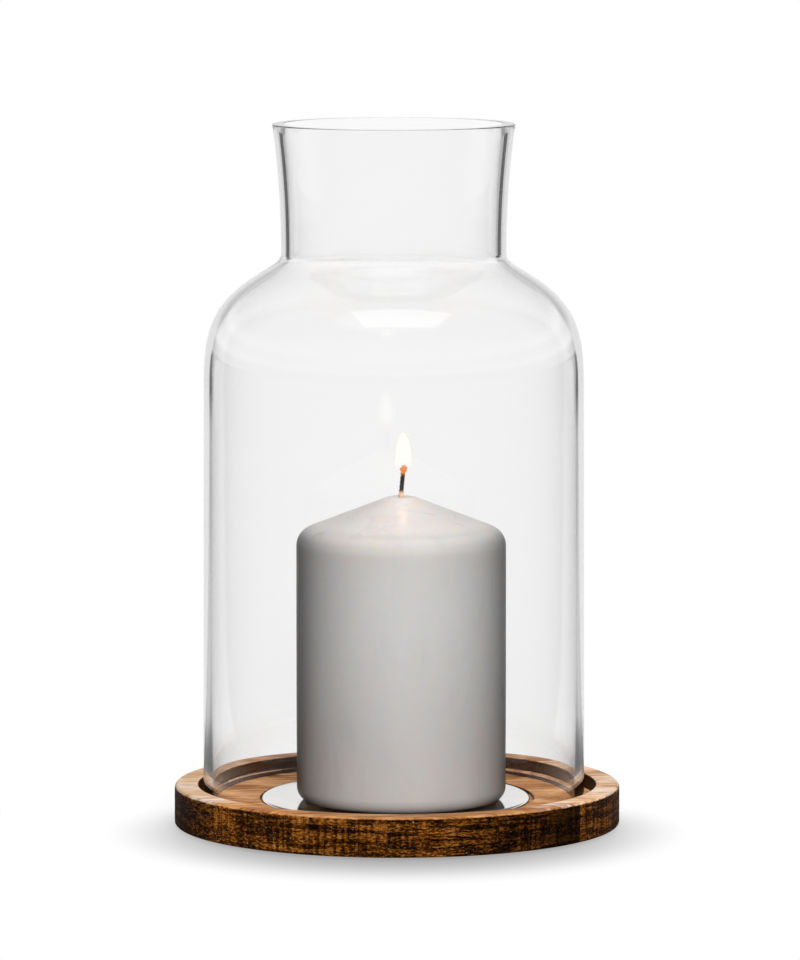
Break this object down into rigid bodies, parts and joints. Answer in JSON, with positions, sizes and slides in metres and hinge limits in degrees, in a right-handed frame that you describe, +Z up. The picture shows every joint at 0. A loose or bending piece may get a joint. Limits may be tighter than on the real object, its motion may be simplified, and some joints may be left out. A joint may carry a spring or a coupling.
{
  "type": "candle lantern",
  "caption": "Round wooden candle lantern: a clear bottle-shaped glass cover, open at the top, stands in a turned recess over a pillar candle on a steel plate.",
  "frame": {"origin": "on the table, under the middle of the base, at the underside of the felt pads", "axes": "+Z up along the cover's height, -Y towards the front, +X to the right; the wood grain and the glue joints run along X"},
  "size_m": [0.15, 0.15, 0.2365],
  "materials": {
    "wood": "brown stained hardwood, sanded top, dark rough-sawn outer wall",
    "felt": "dark brown felt",
    "steel": "polished stainless steel",
    "glass": "clear blown glass",
    "wax": "smooth white candle wax",
    "wick": "braided cotton, charred at the top",
    "tin": "pressed tinned steel"
  },
  "bodies": {
    "base": {"base_board_front": "wood", "base_board_middle": "wood", "base_board_back": "wood", "felt_pad_front_left": "felt", "felt_pad_front_right": "felt", "felt_pad_back_left": "felt", "felt_pad_back_right": "felt"},
    "cover": {"glass_cover": "glass"},
    "plate": {"candle_plate": "steel"},
    "candle": {"candle_wax": "wax", "wick": "wick", "wick_clip": "tin"}
  },
  "joints": [
    {"name": "glass_lift", "type": "slide", "parent": "base", "child": "cover", "axis": [0, 0, 1], "range_m": [0, 0.2]},
    {"name": "plate_lift", "type": "slide", "parent": "base", "child": "plate", "axis": [0, 0, 1], "range_m": [0, 0.015]},
    {"name": "candle_lift", "type": "slide", "parent": "plate", "child": "candle", "axis": [0, 0, 1], "range_m": [0, 0.06]}
  ]
}
